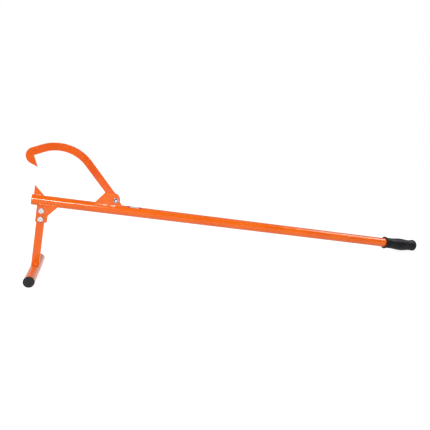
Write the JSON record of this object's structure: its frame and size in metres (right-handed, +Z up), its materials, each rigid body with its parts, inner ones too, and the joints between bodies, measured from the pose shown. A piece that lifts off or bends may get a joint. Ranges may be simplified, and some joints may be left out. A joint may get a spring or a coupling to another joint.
{
  "type": "cant hook",
  "caption": "Steel-tube cant hook with a swinging flat-bar hook and claw, a bolted T-foot log stand and a rubber grip, for rolling logs and propping them off the ground.",
  "frame": {"origin": "on the ground under the middle of the T-foot, where the foot tube's caps rest", "axes": "+X along the ground from the T-foot to the grip, +Y to the right of a person at the grip who looks to the hook, +Z up"},
  "size_m": [1.2197, 0.28, 0.3572],
  "materials": {
    "orange_paint": "gloss powder coat",
    "hook_paint": "gloss powder coat",
    "zinc": "bright zinc plate",
    "grip_rubber": "satin",
    "cap_plastic": "satin",
    "label_film": "gloss film"
  },
  "bodies": {
    "frame": {"handle_tube": "orange_paint", "spike": "orange_paint", "spike_weld": "orange_paint", "hook_ear_left": "orange_paint", "hook_ear_right": "orange_paint", "hook_ear_weld_left": "orange_paint", "hook_ear_weld_right": "orange_paint", "stand_plate_left": "orange_paint", "stand_plate_right": "orange_paint", "stand_plate_weld_left": "orange_paint", "stand_plate_weld_right": "orange_paint", "stand_leg": "orange_paint", "foot_tube": "orange_paint", "foot_weld": "orange_paint", "hook_pivot_bolt": "zinc", "hook_pivot_nut": "zinc", "stand_bolt_upper": "zinc", "stand_bolt_lower": "zinc", "stand_nut_upper": "zinc", "stand_nut_lower": "zinc", "handle_grip": "grip_rubber", "foot_cap_left": "cap_plastic", "foot_cap_right": "cap_plastic", "blank_label": "label_film"},
    "hook": {"hook_arm": "hook_paint"}
  },
  "joints": [
    {"name": "hook_swing", "type": "hinge", "parent": "frame", "child": "hook", "pos_m": [0.22385, 0, 0.197], "axis": [0, 1, 0], "range_deg": [-25, 132]}
  ]
}
